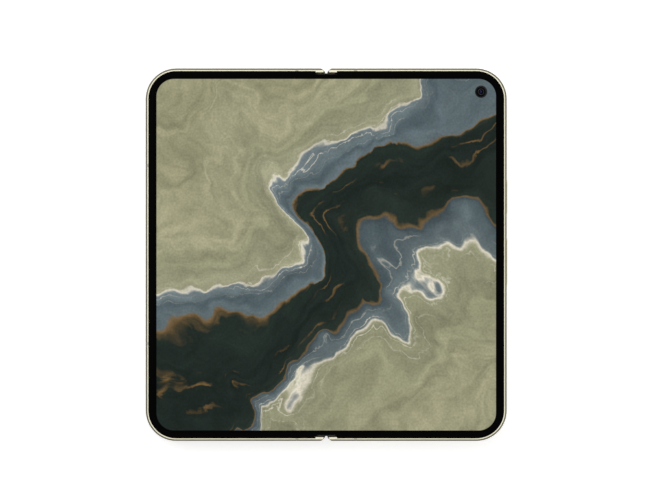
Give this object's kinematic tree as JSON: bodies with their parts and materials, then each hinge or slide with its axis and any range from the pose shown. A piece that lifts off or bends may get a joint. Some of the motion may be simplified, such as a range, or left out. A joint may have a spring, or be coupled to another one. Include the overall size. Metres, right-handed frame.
{
  "type": "foldable smartphone",
  "caption": "Book-style folding smartphone, open flat, with a thin metal frame, folding inner screen, hidden geared hinge, side keys and rear camera island.",
  "frame": {"origin": "centre of the open phone's outline at the outer face of the camera island, on which it lies", "axes": "+X across the fold to the half with the keys, +Y along the fold to the top, +Z out of the folding screen"},
  "size_m": [0.1507, 0.1552, 0.0082],
  "materials": {
    "frame_metal": "satin champagne aluminium",
    "hinge_metal": "ground steel",
    "spine_metal": "polished champagne aluminium",
    "back_glass": "frosted opaque glass",
    "island_metal": "satin with a polished edge",
    "black_glass": "glossy black glass",
    "screen": "folding screen showing a marbled pattern",
    "black_trim": "satin black",
    "black_plastic": "matt black",
    "antenna_plastic": "matt beige",
    "lens_glass": "coated lens glass",
    "flash_plastic": "frosted clear",
    "board": "solder-masked board",
    "shield": "tinned steel",
    "battery": "wrapped foil pouch",
    "copper": "lacquered copper wire",
    "gear_brass": "fine-cut brass",
    "plate_metal": "etched light alloy",
    "flex": "amber film",
    "wrapped_motor": "drawn steel case"
  },
  "bodies": {
    "spine": {"spine_cover": "spine_metal", "spine_end_caps": "black_trim", "hinge_brackets": "hinge_metal", "hinge_shafts": "hinge_metal", "spring_washers": "hinge_metal", "idler_pins": "hinge_metal", "bend_support": "plate_metal"},
    "main_half": {"main_frame": "frame_metal", "back_glass": "back_glass", "camera_island": "island_metal", "camera_windows": "black_glass", "wide_camera": "black_plastic", "ultrawide_camera": "black_plastic", "tele_camera": "black_plastic", "flash_lens": "flash_plastic", "inner_camera": "black_plastic", "inner_camera_window": "lens_glass", "main_trim": "black_trim", "main_screen": "screen", "main_bend": "screen", "main_plate": "plate_metal", "main_antenna_breaks": "antenna_plastic", "main_arms": "hinge_metal", "main_arm_screws": "hinge_metal", "main_board": "board", "shield_cans": "shield", "main_battery": "battery", "charging_coil": "copper", "usb_port": "shield", "bottom_speaker": "black_plastic", "vibration_motor": "wrapped_motor", "key_switches": "flex", "main_magnets": "shield", "main_flex": "flex"},
    "cover_half": {"cover_frame": "frame_metal", "cover_glass": "black_glass", "cover_screen": "black_glass", "cover_camera": "black_plastic", "cover_trim": "black_trim", "left_screen": "screen", "left_bend": "screen", "cover_plate": "plate_metal", "cover_antenna_breaks": "antenna_plastic", "cover_arms": "hinge_metal", "cover_arm_screws": "hinge_metal", "cover_board": "board", "cover_battery": "battery", "top_speaker": "black_plastic", "cover_magnets": "shield", "card_socket": "shield", "cover_flex": "flex"},
    "main_wing": {"main_wing_plate": "plate_metal"},
    "cover_wing": {"cover_wing_plate": "plate_metal"},
    "main_idler": {"main_idler_gears": "gear_brass"},
    "cover_idler": {"cover_idler_gears": "gear_brass"},
    "power_button": {"power_key": "frame_metal"},
    "volume_rocker": {"volume_key": "frame_metal"},
    "wide_focus_lens": {"wide_lens": "lens_glass"},
    "tele_focus_lens": {"tele_lens": "lens_glass"},
    "tray": {"card_tray": "frame_metal"}
  },
  "joints": [
    {"name": "main_fold", "type": "hinge", "parent": "spine", "child": "main_half", "pos_m": [0.0018, 0, 0.0066], "axis": [0, -1, 0], "range_deg": [0, 90], "deforming": ["main_bend", "main_flex"]},
    {"name": "cover_fold", "type": "hinge", "parent": "spine", "child": "cover_half", "pos_m": [-0.0018, 0, 0.0066], "axis": [0, 1, 0], "range_deg": [0, 90], "deforming": ["left_bend", "cover_flex"]},
    {"name": "main_wing_tilt", "type": "hinge", "parent": "main_half", "child": "main_wing", "pos_m": [0.0094, 0, 0.00735], "axis": [0, -1, 0], "range_deg": [0, 5.4]},
    {"name": "cover_wing_tilt", "type": "hinge", "parent": "cover_half", "child": "cover_wing", "pos_m": [-0.0094, 0, 0.00735], "axis": [0, 1, 0], "range_deg": [0, 5.4]},
    {"name": "main_idler_turn", "type": "hinge", "parent": "spine", "child": "main_idler", "pos_m": [0.0008, 0, 0.00535], "axis": [0, 1, 0], "range_deg": [0, 90]},
    {"name": "cover_idler_turn", "type": "hinge", "parent": "spine", "child": "cover_idler", "pos_m": [-0.0008, 0, 0.00535], "axis": [0, 1, 0], "range_deg": [-90, 0]},
    {"name": "power_press", "type": "slide", "parent": "main_half", "child": "power_button", "axis": [-1, 0, 0], "range_m": [0, 0.00025], "stiffness_N_per_m": 8000},
    {"name": "volume_rock", "type": "hinge", "parent": "main_half", "child": "volume_rocker", "pos_m": [0.0737, -0.003, 0.0056], "axis": [0, 0, 1], "range_deg": [-1.2, 1.2], "stiffness_Nm_per_rad": 0.7},
    {"name": "wide_focus", "type": "slide", "parent": "main_half", "child": "wide_focus_lens", "axis": [0, 0, -1], "range_m": [0, 0.0003], "stiffness_N_per_m": 60},
    {"name": "tele_focus", "type": "slide", "parent": "main_half", "child": "tele_focus_lens", "axis": [0, 0, -1], "range_m": [0, 0.0003], "stiffness_N_per_m": 60},
    {"name": "tray_slide", "type": "slide", "parent": "cover_half", "child": "tray", "axis": [0, -1, 0], "range_m": [0, 0.018]}
  ],
  "couplings": [
    {"joint": "cover_fold", "follows": "main_fold", "ratio": 1},
    {"joint": "main_wing_tilt", "follows": "main_fold", "ratio": 0.06},
    {"joint": "cover_wing_tilt", "follows": "main_fold", "ratio": 0.06},
    {"joint": "main_idler_turn", "follows": "main_fold", "ratio": 1},
    {"joint": "cover_idler_turn", "follows": "main_fold", "ratio": -1}
  ]
}
